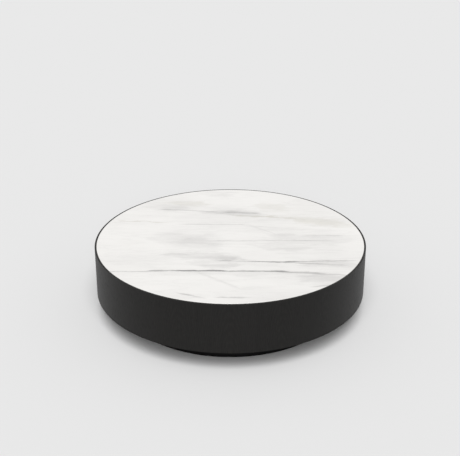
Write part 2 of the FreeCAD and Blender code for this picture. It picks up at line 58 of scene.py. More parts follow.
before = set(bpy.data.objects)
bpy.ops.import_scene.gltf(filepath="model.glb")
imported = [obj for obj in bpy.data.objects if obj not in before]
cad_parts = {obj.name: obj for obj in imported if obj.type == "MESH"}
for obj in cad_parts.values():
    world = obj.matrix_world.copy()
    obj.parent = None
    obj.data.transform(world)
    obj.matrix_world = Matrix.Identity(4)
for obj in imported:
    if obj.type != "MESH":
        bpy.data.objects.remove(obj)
CAD_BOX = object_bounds()

# How finely things are turned, and how closely points are merged and sorted
DRUM_STEPS = 360
PAD_STEPS = 64
HARDWARE_STEPS = 32
SCREW_STEPS = 16
THREAD_STEPS = 20
FLOOR_STEPS = 32
ROUND_SEGMENTS = 4
BOLT_HEAD_SEGMENTS = 2
MERGE_DISTANCE = 0.000002
SHARP_ANGLE = radians(40)
SORT_DIGITS = 5

FULL_TURN = 2 * pi
ORIGIN = Vector((0, 0, 0))
UP = Vector((0, 0, 1))
CORNERS = ("front_left", "front_right", "back_right", "back_left")
GRAIN_MAP = "grain"

# The two halves of drum and plinth, and the angle at which each starts
HALVES = {"front": pi, "back": 0.0}

# The corners of a ring's section, in the order of ring_outline
RING_CORNERS = range(4)
INNER_LOW, OUTER_LOW, OUTER_HIGH, INNER_HIGH = RING_CORNERS

# Sizes of the hardware that its solids leave plain, in metres
SCREW_SHANK = 0.004
SCREW_TIP = 0.004
SCREW_RECESS = 0.0022
SCREW_SLOT = 0.0006
SCREW_RECESS_DEPTH = 0.0018
BOLT_DIAMETER = 0.008
BOLT_HEAD = 0.0055
BOLT_HEAD_EASING = 0.0006
BOLT_PLAIN_SHANK = 0.010
BOLT_SHANK_SINK = 0.0005
BOLT_NUT_BARREL = 0.0105
STEM_DIAMETER = 0.010
STEM_NUT_BARREL = 0.013
NUT_FLANGE = 0.0015
STEEL_EASING = 0.0003
THREAD_TAPER = 0.001
THREAD_MARGIN = 0.0005
COLLAR_THICKNESS = 0.004
COLLAR_EASING = 0.0004
KEY_ACROSS = 0.005
KEY_DEPTH = 0.006
PAD_FLOOR = 0.0025
PAD_NECK = 0.013
PAD_KEY_HOLE = 0.008
PAD_BEVEL = 0.0015
PAD_EASING = 0.0004

# Gaps between pieces, in metres
SLAB_GAP = 0.001
GLUE_LINE = 0.0002
WASHER_CLEARANCE = 0.0005
NUT_CLEARANCE = 0.00008
COLLAR_CLEARANCE = 0.0001

# Proportions of the hardware, as shares of the size that each is used with
BUMPER_ROUNDING = 0.3
SCREW_CORE = 0.7
SCREW_RIM = 0.05
SCREW_RUNOUT = 1.1
SCREW_RECESS_TAPER = 0.45
SCREW_RIDGE_SINK = 0.9
METRIC_RIDGE_SINK = 0.95
METRIC_THREAD_DEPTH = 0.61
RIDGE_FOOT = 0.44
RIDGE_CREST = 0.10


class Streaks(NamedTuple):
    """A kind of streak in the stone: how it swells, as shares of its width, how sharp its edges are, and
    where each one runs, seen from above: both ends in metres, half width and depth."""

    narrow: float
    wide: float
    sharpness: float
    runs: tuple


# Lines are sharp, clouds are soft and grey, and rust is soft and warm
STREAKS = {
    "line": Streaks(narrow=0.8, wide=2.4, sharpness=2.0, runs=(
        ((-0.524, -0.287), (0.196, -0.284), 0.0040, 0.45),
        ((-0.344, -0.279), (0.016, -0.280), 0.0082, 1.00),
        ((-0.144, -0.280), (0.256, -0.290), 0.0088, 1.00),
        ((0.044, -0.282), (0.384, -0.305), 0.0088, 0.55),
        ((0.164, -0.291), (0.504, -0.326), 0.0085, 0.45),
        ((-0.084, -0.198), (0.236, -0.205), 0.0050, 0.48),
        ((0.034, -0.202), (0.305, -0.203), 0.0062, 0.90),
        ((0.044, -0.200), (0.295, -0.208), 0.0062, 0.80),
        ((0.184, -0.204), (0.524, -0.193), 0.0050, 0.50),
        ((0.224, -0.212), (0.484, -0.238), 0.0065, 0.42),
        ((-0.334, 0.320), (-0.024, 0.284), 0.0080, 0.42),
        ((-0.060, 0.290), (0.160, 0.268), 0.0120, 0.38),
        ((-0.244, 0.155), (0.096, 0.152), 0.0050, 0.30),
        ((0.016, 0.144), (0.236, 0.120), 0.0045, 0.20),
        ((-0.114, -0.009), (0.156, -0.011), 0.0060, 0.28),
        ((0.076, -0.006), (0.436, -0.007), 0.0055, 0.26),
        ((0.256, 0.045), (0.496, 0.040), 0.0070, 0.26),
        ((0.306, -0.095), (0.496, -0.100), 0.0050, 0.24),
        ((-0.224, -0.448), (-0.064, -0.515), 0.0085, 0.42),
        ((-0.084, -0.496), (0.096, -0.499), 0.0065, 0.48),
        ((0.266, -0.415), (0.416, -0.392), 0.0055, 0.42),
        ((-0.154, -0.270), (0.056, -0.448), 0.0150, 0.16),
        ((0.036, 0.182), (0.236, 0.022), 0.0100, 0.12),
    )),
    "cloud": Streaks(narrow=0.8, wide=1.3, sharpness=1.0, runs=(
        ((-0.374, 0.041), (0.046, -0.053), 0.130, 0.34),
        ((-0.334, -0.136), (-0.004, -0.160), 0.042, 0.42),
        ((-0.184, -0.148), (0.116, -0.199), 0.054, 0.52),
        ((-0.174, -0.220), (0.076, -0.245), 0.046, 0.30),
        ((-0.165, -0.206), (-0.025, -0.208), 0.030, 0.36),
        ((-0.165, -0.124), (-0.035, -0.128), 0.030, 0.32),
        ((-0.140, 0.298), (0.200, 0.250), 0.050, 0.40),
        ((0.036, -0.043), (0.396, -0.078), 0.070, 0.34),
        ((0.066, 0.050), (0.586, -0.004), 0.110, 0.32),
        ((0.206, -0.209), (0.566, -0.237), 0.046, 0.33),
        ((0.166, -0.321), (0.546, -0.374), 0.073, 0.40),
        ((-0.424, 0.361), (-0.144, 0.329), 0.065, 0.28),
        ((-0.184, 0.494), (0.066, 0.480), 0.055, 0.30),
        ((-0.554, -0.289), (0.606, -0.310), 0.032, 0.20),
    )),
    "rust": Streaks(narrow=0.7, wide=1.4, sharpness=1.0, runs=(
        ((-0.034, 0.260), (0.266, 0.224), 0.022, 0.65),
        ((0.156, 0.238), (0.386, 0.195), 0.022, 0.50),
        ((0.186, 0.231), (0.566, 0.129), 0.066, 0.40),
        ((-0.534, 0.183), (-0.214, 0.181), 0.011, 0.45),
        ((-0.314, 0.387), (-0.064, 0.368), 0.046, 0.32),
        ((0.086, 0.356), (0.286, 0.329), 0.073, 0.22),
    )),
}


def length_property(name, description, default):
    """A length that a user may change."""
    return FloatProperty(name=name, description=description, default=default, min=0.0, subtype="DISTANCE",
                         unit="LENGTH", precision=4)


def colour_property(name, description, default):
    """A colour that a user may change."""
    return FloatVectorProperty(name=name, description=description, default=default, min=0.0, max=1.0,
                               size=3, subtype="COLOR")


def share_property(name, description, default):
    """A number from nought to one that a user may change."""
    return FloatProperty(name=name, description=description, default=default, min=0.0, max=1.0,
                         subtype="FACTOR")


def angle_property(name, description, degrees):
    """An angle that a user may change."""
    return FloatProperty(name=name, description=description, default=radians(degrees), subtype="ANGLE",
                         unit="ROTATION")


class StoneSettings(PropertyGroup):
    """The slab."""

    ground: colour_property("Ground", "Colour of the stone between its veins", (0.925, 0.910, 0.885))
    line: colour_property("Lines", "Colour of the sharp veins", (0.20, 0.195, 0.193))
    cloud: colour_property("Clouds", "Colour of the soft grey streaks", (0.53, 0.517, 0.508))
    rust: colour_property("Warm streaks", "Colour of the warm streaks", (0.60, 0.575, 0.49))
    roughness: share_property("Roughness", "Roughness of the polished face", 0.16)
    edge_radius: length_property("Edge radius", "Rounding of the slab's two edges", 0.001)


class VeneerSettings(PropertyGroup):
    """The drum's black oak."""

    dark: colour_property("Dark grain", "Stain in the dense late wood", (0.0029, 0.0027, 0.0025))
    light: colour_property("Light grain", "Stain in the open early wood", (0.0106, 0.0098, 0.0090))
    pore: colour_property("Pores", "Stain in the open pores", (0.0010, 0.0008, 0.0007))
    worn: colour_property("Worn edges", "Stain where the edges are rubbed", (0.022, 0.017, 0.013))
    leaves: IntProperty(name="Leaves", description="Leaves of veneer round the drum", default=18, min=1)
    ring_spacing: length_property("Growth rings", "Distance between growth lines", 0.0065)
    roughness: share_property("Roughness", "Roughness of the satin lacquer", 0.49)
    specular: share_property("Specular level", "Strength of the lacquer's reflections", 0.205)
    sheen: share_property("Sheen", "Soft light that the open grain throws back sideways", 0.008)
    easing: length_property("Easing", "Rounding of the veneer's edges", 0.0003)


class LacquerSettings(PropertyGroup):
    """The plinth's black lacquer."""

    colour: colour_property("Lacquer", "Colour of the lacquer", (0.0018, 0.0018, 0.0019))
    worn: colour_property("Worn lacquer", "Colour where it is rubbed", (0.0045, 0.0044, 0.0043))
    roughness: share_property("Roughness", "Roughness of the lacquer", 0.42)
    specular: share_property("Specular level", "Strength of the lacquer's reflections", 0.15)
    edge_radius: length_property("Edge radius", "Rounding of the plinth's edges", 0.001)


class CarcaseSettings(PropertyGroup):
    """The boards and blocks inside."""

    face: colour_property("Birch face", "Pale face of the plywood", (0.66, 0.50, 0.33))
    grain: colour_property("Birch grain", "Darker grain on that face", (0.52, 0.36, 0.21))
    cross: colour_property("Cross plies", "Plies seen end on", (0.36, 0.23, 0.12))
    ply: length_property("Ply", "Thickness of one ply", 0.0015)
    pine: colour_property("Pine", "Pale early wood of the blocks", (0.68, 0.49, 0.28))
    pine_ring: colour_property("Pine rings", "Late wood of the blocks", (0.46, 0.26, 0.11))
    ring_spacing: length_property("Pine ring spacing", "Distance between the blocks' rings", 0.0045)
    bumper: colour_property("Bumpers", "Soft discs under the slab", (0.50, 0.50, 0.48))
    clouded: colour_property("Clouded bumpers", "Darker clouds in those discs", (0.36, 0.36, 0.35))


class HardwareSettings(PropertyGroup):
    """Screws, bolts, nuts and glides."""

    zinc: colour_property("Zinc", "Colour of the plated steel", (0.60, 0.61, 0.62))
    dull_zinc: colour_property("Dull zinc", "Colour of the plating where it is dull", (0.42, 0.42, 0.41))
    nylon: colour_property("Nylon", "Colour of the glide pads", (0.022, 0.022, 0.023))
    scuffed: colour_property("Scuffed nylon", "Colour of the pads where they rub", (0.060, 0.059, 0.057))
    stem_pitch: length_property("Stem pitch", "Rise of a glide's thread in one turn", 0.0015)
    bolt_pitch: length_property("Bolt pitch", "Rise of a bolt's thread in one turn", 0.00125)
    screw_pitch: length_property("Screw pitch", "Rise of a wood screw's thread in one turn", 0.0018)


class StageSettings(PropertyGroup):
    """Floor, light and camera."""

    floor: colour_property("Floor", "Colour of the floor and of what lies behind it", (0.814, 0.814, 0.814))
    floor_radius: length_property("Floor radius", "Reach of the floor", 40.0)
    light: FloatProperty(name="Light", description="Strength of the light on the floor", default=1.0,
                         min=0.0)
    fill: share_property("Fill", "Share of that light that comes evenly from all round", 0.31)
    key_height: angle_property("Key height", "Angle of the upper front light above the horizon", 57)
    key_spread: angle_property("Key spread", "How wide the upper front light looks", 34)
    low: share_property("Low light", "Share of that light that comes from the lower front light", 0.15)
    low_height: angle_property("Low height", "Angle of the lower front light above the horizon", 29)
    low_spread: angle_property("Low spread", "How wide the lower front light looks", 24)
    lens: FloatProperty(name="Lens", description="Focal length", default=77.24, min=1.0,
                        subtype="DISTANCE_CAMERA")
    distance: length_property("Distance", "From the camera to what it looks at", 4.0086)
    aim: length_property("Aim", "Height of what the camera looks at", 0.3424)
    aside: FloatProperty(name="Aside", description="Camera's place to the right of the table's axis",
                         default=-0.0013, subtype="DISTANCE", unit="LENGTH", precision=4)
    elevation: angle_property("Elevation", "Camera's angle above the horizon", 24.285)


class TableSettings(PropertyGroup):
    """All that can be changed."""

    stone: PointerProperty(type=StoneSettings)
    veneer: PointerProperty(type=VeneerSettings)
    lacquer: PointerProperty(type=LacquerSettings)
    carcase: PointerProperty(type=CarcaseSettings)
    hardware: PointerProperty(type=HardwareSettings)
    stage: PointerProperty(type=StageSettings)


# Node trees

HALF = (0.5, 0.5, 0.5)
WHITE = (1.0, 1.0, 1.0, 1.0)

# The sockets of the node that mixes colours
MIX_FACTOR = 0
MIX_FIRST = 6
MIX_SECOND = 7
MIX_RESULT = 2


def opaque(colour):
    """A colour with its alpha."""
    return (*colour, 1.0)


class Graph:
    """A node tree under construction: each input is a plain value or another node's output."""

    def __init__(self, tree):
        self.tree = tree

    def node(self, kind, inputs=None, **settings):
        """One node with its settings and inputs."""
        made = self.tree.nodes.new(kind)
        for key, value in settings.items():
            setattr(made, key, value)
        return self.feed(made, inputs or {})

    def feed(self, node, inputs):
        """Links or sets the inputs of a node."""
        for key, value in inputs.items():
            if isinstance(value, NodeSocket):
                self.tree.links.new(value, node.inputs[key])
            else:
                node.inputs[key].default_value = value
        return node

    def math(self, operation, *values):
        """Arithmetic on numbers."""
        return self.node("ShaderNodeMath", dict(enumerate(values)), operation=operation).outputs[0]

    plus = partialmethod(math, "ADD")
    less = partialmethod(math, "SUBTRACT")
    times = partialmethod(math, "MULTIPLY")
    larger = partialmethod(math, "MAXIMUM")
    magnitude = partialmethod(math, "ABSOLUTE")

    def reach(self, first, second):
        """The distance from the origin of a point in a plane."""
        return self.math("SQRT", self.plus(self.times(first, first), self.times(second, second)))

    def vector(self, operation, *values):
        """Arithmetic on vectors."""
        return self.node("ShaderNodeVectorMath", dict(enumerate(values)), operation=operation).outputs[0]

    def stretched(self, vector, factors):
        """A vector times a factor for each axis."""
        return self.vector("MULTIPLY", vector, factors)

    def pushed(self, vector, push, field, scale, detail, roughness):
        """A vector pushed about at random by a field of noise."""
        noise = self.noise(field, scale, detail, roughness, output=1)
        return self.vector("MULTIPLY_ADD", self.vector("SUBTRACT", noise, HALF), push, vector)

    def parts(self, vector):
        """The three numbers of a vector."""
        return self.node("ShaderNodeSeparateXYZ", {0: vector}).outputs[:]

    def joined(self, *numbers):
        """A vector of three numbers."""
        return self.node("ShaderNodeCombineXYZ", dict(enumerate(numbers))).outputs[0]

    def noise(self, vector, scale=1.0, detail=2.0, roughness=0.5, output=0):
        """Soft noise about a half, or its colour as the second output."""
        inputs = {"Vector": vector, "Scale": scale, "Detail": detail, "Roughness": roughness}
        return self.node("ShaderNodeTexNoise", inputs).outputs[output]

    def streaks(self, vector, factors, detail=2.0, roughness=0.5):
        """Noise drawn out by a factor for each axis."""
        return self.noise(self.stretched(vector, factors), 1.0, detail, roughness)

    def ramp(self, value, low, high, start=0.0, end=1.0):
        """A smooth step from one number to another."""
        inputs = {"Value": value, "From Min": low, "From Max": high, "To Min": start, "To Max": end}
        return self.node("ShaderNodeMapRange", inputs, interpolation_type="SMOOTHSTEP").outputs[0]

    def mix(self, factor, *colours):
        """A colour between two others."""
        first, second = (colour if isinstance(colour, NodeSocket) else opaque(colour) for colour in colours)
        inputs = {MIX_FACTOR: factor, MIX_FIRST: first, MIX_SECOND: second}
        return self.node("ShaderNodeMix", inputs, data_type="RGBA").outputs[MIX_RESULT]


class Finish(Graph):
    """A material with one principled surface."""

    def __init__(self, name):
        self.material = bpy.data.materials.new(name)
        self.material.use_nodes = True
        super().__init__(self.material.node_tree)
        self.surface = self.tree.nodes["Principled BSDF"]

    def place(self):
        """Where a point lies, in metres."""
        return self.node("ShaderNodeTexCoord").outputs["Object"]

    def grain_place(self):
        """Where a point lies on the piece's own map, in metres along the arc and up."""
        across, up, _ = self.parts(self.node("ShaderNodeUVMap", uv_map=GRAIN_MAP).outputs[0])
        return across, up

    def facing(self, axis):
        """How squarely a face looks along X, Y or Z, from nought to one."""
        normal = self.node("ShaderNodeTexCoord").outputs["Normal"]
        return self.magnitude(self.parts(normal)["XYZ".index(axis)])

    def relief(self, height, distance, strength):
        """Fine relief on the surface."""
        bump = self.node("ShaderNodeBump", {"Height": height, "Distance": distance, "Strength": strength})
        self.feed(self.surface, {"Normal": bump.outputs[0]})

    def done(self, **inputs):
        """Sets the surface's inputs, named with underscores, and gives the material."""
        self.feed(self.surface, {key.replace("_", " "): value for key, value in inputs.items()})
        return self.material


# Stone: how its bed is drawn out, how far it is bent, torn and frayed, and how its streaks end

BED_STRETCH = (1.0, 2.5, 1.0)
SHRED_STRETCH = (1.0, 5.0, 1.0)
FLOW_STRETCH = (2.5, 16.0, 6.0)
WISP_STRETCH = (5.0, 26.0, 6.0)
BEND = (0.020, 0.022, 0.0)
TEAR = (0.240, 0.085, 0.0)
FRAY = (0.0, 0.010, 0.0)
LINE_FADE = 0.06
CLOUD_FADE = 0.75
CRYSTAL_SCALE = 650.0
CRYSTAL_TONE = 0.05
HAZE_TONE = 0.20
THREAD_TONE = 0.10
THREAD_WIDTH = 0.007
HALO_TONE = 0.05
HALO_WIDTH = 0.06
POLISH_GAIN = 0.04
POLISH_LOSS = 0.05
POLISH_DEPTH = 0.00002
STONE_IOR = 1.5


def vein_group():
    """One streak of the stone: how deep it is at a place."""
    tree = bpy.data.node_groups.new("stone vein", "ShaderNodeTree")
    tree.interface.new_socket("Place", in_out="INPUT", socket_type="NodeSocketVector")
    for name in ("Swell", "Middle", "Reach", "Fade", "Level", "Slope", "Width", "Depth", "Sharpness"):
        tree.interface.new_socket(name, in_out="INPUT", socket_type="NodeSocketFloat")
    tree.interface.new_socket("Streak", in_out="OUTPUT", socket_type="NodeSocketFloat")
    graph = Graph(tree)
    given = {socket.name: socket for socket in graph.node("NodeGroupInput").outputs}
    along, level, _ = graph.parts(given["Place"])
    run = graph.less(along, given["Middle"])
    line = graph.math("MULTIPLY_ADD", run, given["Slope"], given["Level"])
    inner = graph.less(given["Reach"], given["Fade"])
    ends = graph.ramp(graph.magnitude(run), given["Reach"], inner)
    width = graph.times(graph.times(given["Width"], given["Swell"]), ends)
    offset = graph.magnitude(graph.less(level, line))
    depth = graph.math("POWER", graph.ramp(offset, width, 0.0), given["Sharpness"])
    depth = graph.times(depth, given["Depth"])
    graph.node("NodeGroupOutput", {"Streak": graph.times(depth, ends)})
    return tree


def streak_depths(finish, beds):
    """How deep the stone's lines, clouds and warm streaks are at a place."""
    group = vein_group()
    depths = dict.fromkeys(STREAKS, 0.0)
    for kind, streaks in STREAKS.items():
        where, swell = beds[kind]
        for (start, level), (end, end_level), width, depth in streaks.runs:
            reach = (end - start) / 2
            inputs = {
                "Place": where,
                "Swell": swell,
                "Middle": (start + end) / 2,
                "Reach": reach,
                "Fade": LINE_FADE if kind == "line" else CLOUD_FADE * reach,
                "Level": (level + end_level) / 2,
                "Slope": (end_level - level) / (end - start),
                "Width": width,
                "Depth": depth,
                "Sharpness": streaks.sharpness,
            }
            vein = finish.node("ShaderNodeGroup", inputs, node_tree=group)
            depths[kind] = finish.larger(vein.outputs[0], depths[kind])
    return depths


def veined_stone(stone):
    """Polished white stone, veined along X."""
    finish = Finish("veined stone")
    place = finish.place()
    bed = finish.stretched(place, BED_STRETCH)
    bent = finish.pushed(place, BEND, bed, scale=5.0, detail=9.0, roughness=0.58)
    torn = finish.pushed(bent, TEAR, bed, scale=11.0, detail=8.0, roughness=0.62)
    frayed = finish.pushed(bent, FRAY, place, scale=38.0, detail=6.0, roughness=0.6)
    shred = finish.stretched(bent, SHRED_STRETCH)
    swell = finish.noise(shred, scale=13.0, detail=3.0)
    beds = {}
    for kind, streaks in STREAKS.items():
        swelling = finish.ramp(swell, 0.30, 0.70, start=streaks.narrow, end=streaks.wide)
        beds[kind] = (frayed if kind == "line" else torn, swelling)
    depths = streak_depths(finish, beds)
    flow = finish.streaks(bent, FLOW_STRETCH, detail=7.0, roughness=0.6)
    ridge = finish.magnitude(finish.less(flow, 0.5))
    halo = finish.ramp(ridge, HALO_WIDTH, 0.0, end=HALO_TONE)
    thread = finish.plus(halo, finish.ramp(ridge, THREAD_WIDTH, 0.0, end=THREAD_TONE))
    sugar = finish.node("ShaderNodeTexVoronoi", {"Vector": place, "Scale": CRYSTAL_SCALE}).outputs["Color"]
    crystal = finish.times(finish.parts(sugar)[0], CRYSTAL_TONE)
    wisp = finish.streaks(torn, WISP_STRETCH, detail=5.0, roughness=0.6)
    cloud = finish.times(depths["cloud"], finish.ramp(wisp, 0.28, 0.66, start=0.35, end=1.15))
    haze = finish.ramp(finish.noise(bed, scale=2.2, detail=6.0, roughness=0.6), 0.40, 0.75, end=HAZE_TONE)
    soft = finish.plus(finish.plus(finish.plus(haze, thread), cloud), crystal)
    gaps = finish.ramp(finish.noise(shred, scale=7.0, detail=6.0, roughness=0.65), 0.34, 0.58, start=0.45)
    colour = finish.mix(depths["rust"], stone.ground, stone.rust)
    colour = finish.mix(soft, colour, stone.cloud)
    colour = finish.mix(finish.times(depths["line"], gaps), colour, stone.line)
    polish = finish.noise(place, scale=40.0, detail=4.0)
    rough = finish.ramp(polish, 0.3, 0.7, start=stone.roughness - POLISH_GAIN,
                        end=stone.roughness + POLISH_LOSS)
    finish.relief(finish.noise(place, scale=120.0, detail=3.0), POLISH_DEPTH, strength=0.3)
    return finish.done(Base_Color=colour, Roughness=rough, IOR=STONE_IOR)


# Black oak: how its crowns open, and how rings, fibres, leaves and pores tell in tone, gloss and relief

CROWN_SLOPE = 0.16
CROWN_WIDTH = 0.010
RING_DRIFT = 2.6
LEAF_SEEDS = 40.0
RING_TONE = 0.35
FIBRE_TONE = 0.5
LEAF_TONE = 0.30
PORE_TONE = 0.8
PORE_DULLING = 0.18
OAK_GLOSS_SWING = 0.05
FIBRE_RELIEF = 0.35
PORE_DEPTH = 0.00012
OAK_SHEEN_ROUGHNESS = 0.5
EDGE_RUB = 0.0035
LIPPING_STRIP = 0.05


def oak_grain(finish, across, along, leaf_middle, leaf_seed, spacing):
    """Growth lines that crown in each leaf, fine fibres and open pores, each from nought to one."""

    def figure(across_scale, along_scale, detail, roughness=0.5):
        """Noise drawn out along the grain, other in each leaf."""
        spot = finish.joined(finish.times(across, across_scale), finish.times(along, along_scale), leaf_seed)
        return finish.noise(spot, 1.0, detail, roughness)

    side = finish.less(across, leaf_middle)
    crown = finish.math("MULTIPLY_ADD", along, CROWN_SLOPE, CROWN_WIDTH)
    rings = finish.math("DIVIDE", finish.reach(side, crown), spacing)
    drift = finish.times(figure(9.0, 3.5, detail=3.0), RING_DRIFT)
    wave = finish.math("SINE", finish.times(finish.plus(rings, drift), FULL_TURN))
    ring = finish.ramp(wave, -1.0, 1.0)
    fibre = figure(420.0, 5.0, detail=3.0, roughness=0.6)
    dash = finish.ramp(figure(1300.0, 38.0, detail=1.0), 0.55, 0.66)
    pore = finish.times(dash, finish.ramp(ring, 0.2, 0.9, start=0.25))
    return ring, fibre, pore


def edge_wear(finish, up):
    """How far the drum's upper and lower edges are rubbed through, from nought to one."""
    top = CAD_BOX[1].z
    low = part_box("bottom_lipping")[0].z
    upper = finish.ramp(up, top - EDGE_RUB, top)
    lower = finish.ramp(up, low + EDGE_RUB, low)
    patch = finish.ramp(finish.noise(finish.place(), scale=34.0, detail=6.0, roughness=0.7), 0.52, 0.70)
    return finish.times(finish.larger(upper, lower), patch)


def black_oak(finish, veneer, across, along, up, leaf_width):
    """Black stained oak under satin lacquer, with the grain along one axis of the piece's map."""
    leaf = finish.math("FLOOR", finish.math("DIVIDE", across, leaf_width))
    middle = finish.times(finish.plus(leaf, 0.5), leaf_width)
    deal = finish.node("ShaderNodeTexWhiteNoise", {"W": leaf}, noise_dimensions="1D").outputs[0]
    seed = finish.times(deal, LEAF_SEEDS)
    ring, fibre, pore = oak_grain(finish, across, along, middle, seed, veneer.ring_spacing)
    tone = finish.math("MULTIPLY_ADD", ring, RING_TONE, finish.ramp(fibre, 0.25, 0.75, end=FIBRE_TONE))
    tone = finish.math("MULTIPLY_ADD", deal, LEAF_TONE, tone)
    colour = finish.mix(tone, veneer.dark, veneer.light)
    colour = finish.mix(finish.times(pore, PORE_TONE), colour, veneer.pore)
    colour = finish.mix(edge_wear(finish, up), colour, veneer.worn)
    satin = finish.ramp(fibre, 0.2, 0.8, start=veneer.roughness - OAK_GLOSS_SWING,
                        end=veneer.roughness + OAK_GLOSS_SWING)
    rough = finish.math("MULTIPLY_ADD", pore, PORE_DULLING, satin)
    finish.relief(finish.less(finish.times(fibre, FIBRE_RELIEF), pore), PORE_DEPTH, strength=0.5)
    return finish.done(Base_Color=colour, Roughness=rough, Specular_IOR_Level=veneer.specular,
                       Sheen_Weight=veneer.sheen, Sheen_Roughness=OAK_SHEEN_ROUGHNESS)


def veneer_finish(veneer):
    """Leaves of veneer side by side, with upright grain."""
    finish = Finish("black oak veneer")
    across, up = finish.grain_place()
    return black_oak(finish, veneer, across, up, up, FULL_TURN * CAD_BOX[1].x / veneer.leaves)


def lipping_finish(veneer):
    """Solid strips, with the grain along the arc."""
    finish = Finish("black oak lipping")
    along, across = finish.grain_place()
    return black_oak(finish, veneer, across, along, across, LIPPING_STRIP)


# Lacquer, birch and pine: how their grain is drawn out and tells in tone, and how they are rubbed

LACQUER_STRETCH = (260.0, 260.0, 9.0)
LACQUER_RUB_TOP = 0.035
LACQUER_RUB_FOOT = 0.004
LACQUER_RUB_DULLING = 0.2
LACQUER_GRAIN_TONE = 0.45
LACQUER_GRAIN_RELIEF = 0.7
LACQUER_GLOSS_SWING = 0.06
LACQUER_DEPTH = 0.00005
GRAIN_ALONG_X = (3.0, 60.0, 60.0)
GRAIN_ALONG_Y = (60.0, 3.0, 60.0)
END_GRAIN_TONE = 0.4
PINE_BOW = (0.012, 0.012, 0.0)
PINE_STRETCH = (500.0, 500.0, 8.0)
PINE_LATE_WOOD = 3.0
PINE_RING_TONE = 0.7
PINE_FIBRE_TONE = 0.3
SAWN_DEPTH = 0.0001


def black_lacquer(lacquer):
    """Black lacquer over close grain, a little rubbed low down."""
    finish = Finish("black lacquer")
    place = finish.place()
    height = finish.parts(place)[2]
    cloud = finish.noise(place, scale=9.0, detail=5.0, roughness=0.6)
    grain = finish.streaks(place, LACQUER_STRETCH, detail=3.0)
    upright = finish.ramp(finish.facing("Z"), 0.8, 0.5)
    low = finish.times(finish.ramp(height, LACQUER_RUB_TOP, LACQUER_RUB_FOOT), upright)
    patch = finish.ramp(finish.noise(place, scale=60.0, detail=4.0, roughness=0.7), 0.50, 0.68)
    rub = finish.times(low, patch)
    wear = finish.larger(rub, finish.ramp(grain, 0.35, 0.75, end=LACQUER_GRAIN_TONE))
    colour = finish.mix(wear, lacquer.colour, lacquer.worn)
    satin = finish.ramp(cloud, 0.3, 0.7, start=lacquer.roughness - LACQUER_GLOSS_SWING,
                        end=lacquer.roughness + LACQUER_GLOSS_SWING)
    rough = finish.math("MULTIPLY_ADD", rub, LACQUER_RUB_DULLING, satin)
    skin = finish.plus(finish.times(grain, LACQUER_GRAIN_RELIEF), finish.noise(place, scale=300.0))
    finish.relief(skin, LACQUER_DEPTH, strength=0.4)
    return finish.done(Base_Color=colour, Roughness=rough, Specular_IOR_Level=lacquer.specular)


def birch_ply(carcase, name, direction):
    """Birch plywood: long grain on its faces, and plies on its edges, laid along X, Y, Z or the radius."""
    finish = Finish(name)
    place = finish.place()
    x, y, z = finish.parts(place)
    if direction == "radius":
        depth = finish.reach(x, y)
        flat = finish.less(1.0, finish.facing("Z"))
    else:
        depth = {"X": x, "Y": y, "Z": z}[direction]
        flat = finish.facing(direction)
    ply = finish.ramp(finish.math("SINE", finish.times(depth, pi / carcase.ply)), -0.25, 0.25)
    long_grain = GRAIN_ALONG_Y if direction == "X" else GRAIN_ALONG_X
    figure = finish.ramp(finish.streaks(place, long_grain, detail=5.0, roughness=0.6), 0.30, 0.72)
    end_grain = finish.ramp(finish.noise(place, scale=500.0), 0.4, 0.8, end=END_GRAIN_TONE)
    edge = finish.mix(ply, carcase.face, carcase.cross)
    edge = finish.mix(end_grain, edge, carcase.cross)
    face = finish.mix(figure, carcase.face, carcase.grain)
    colour = finish.mix(finish.ramp(flat, 0.5, 0.8), edge, face)
    finish.relief(figure, SAWN_DEPTH, strength=0.3)
    return finish.done(Base_Color=colour, Roughness=finish.ramp(figure, 0.0, 1.0, start=0.55, end=0.72))


def sawn_pine(carcase):
    """Pine, with its growth rings about an upright axis."""
    finish = Finish("sawn pine")
    place = finish.place()
    bow = finish.noise(place, scale=14.0, detail=3.0, output=1)
    x, y, _ = finish.parts(finish.vector("MULTIPLY_ADD", bow, PINE_BOW, place))
    ring = finish.math("FRACT", finish.math("DIVIDE", finish.reach(x, y), carcase.ring_spacing))
    late = finish.times(finish.math("POWER", ring, PINE_LATE_WOOD), PINE_RING_TONE)
    fibre = finish.streaks(place, PINE_STRETCH)
    tone = finish.math("MULTIPLY_ADD", finish.ramp(fibre, 0.3, 0.7), PINE_FIBRE_TONE, late)
    colour = finish.mix(tone, carcase.pine, carcase.pine_ring)
    finish.relief(tone, SAWN_DEPTH, strength=0.4)
    return finish.done(Base_Color=colour, Roughness=finish.ramp(fibre, 0.2, 0.8, start=0.6, end=0.75))


# Small parts

ZINC_NAME = "zinc plate"
PAD_SCUFF_HEIGHT = 0.002
MOULDED_DEPTH = 0.00005
PLATED_DEPTH = 0.00002


def soft_bumper(carcase):
    """Clouded soft rubber."""
    finish = Finish("soft bumper")
    place = finish.place()
    cloud = finish.noise(place, scale=160.0, detail=3.0)
    colour = finish.mix(finish.ramp(cloud, 0.3, 0.7, end=0.3), carcase.bumper, carcase.clouded)
    finish.relief(finish.noise(place, scale=900.0), MOULDED_DEPTH, strength=0.3)
    return finish.done(Base_Color=colour, Roughness=finish.ramp(cloud, 0.3, 0.7, start=0.5, end=0.65))


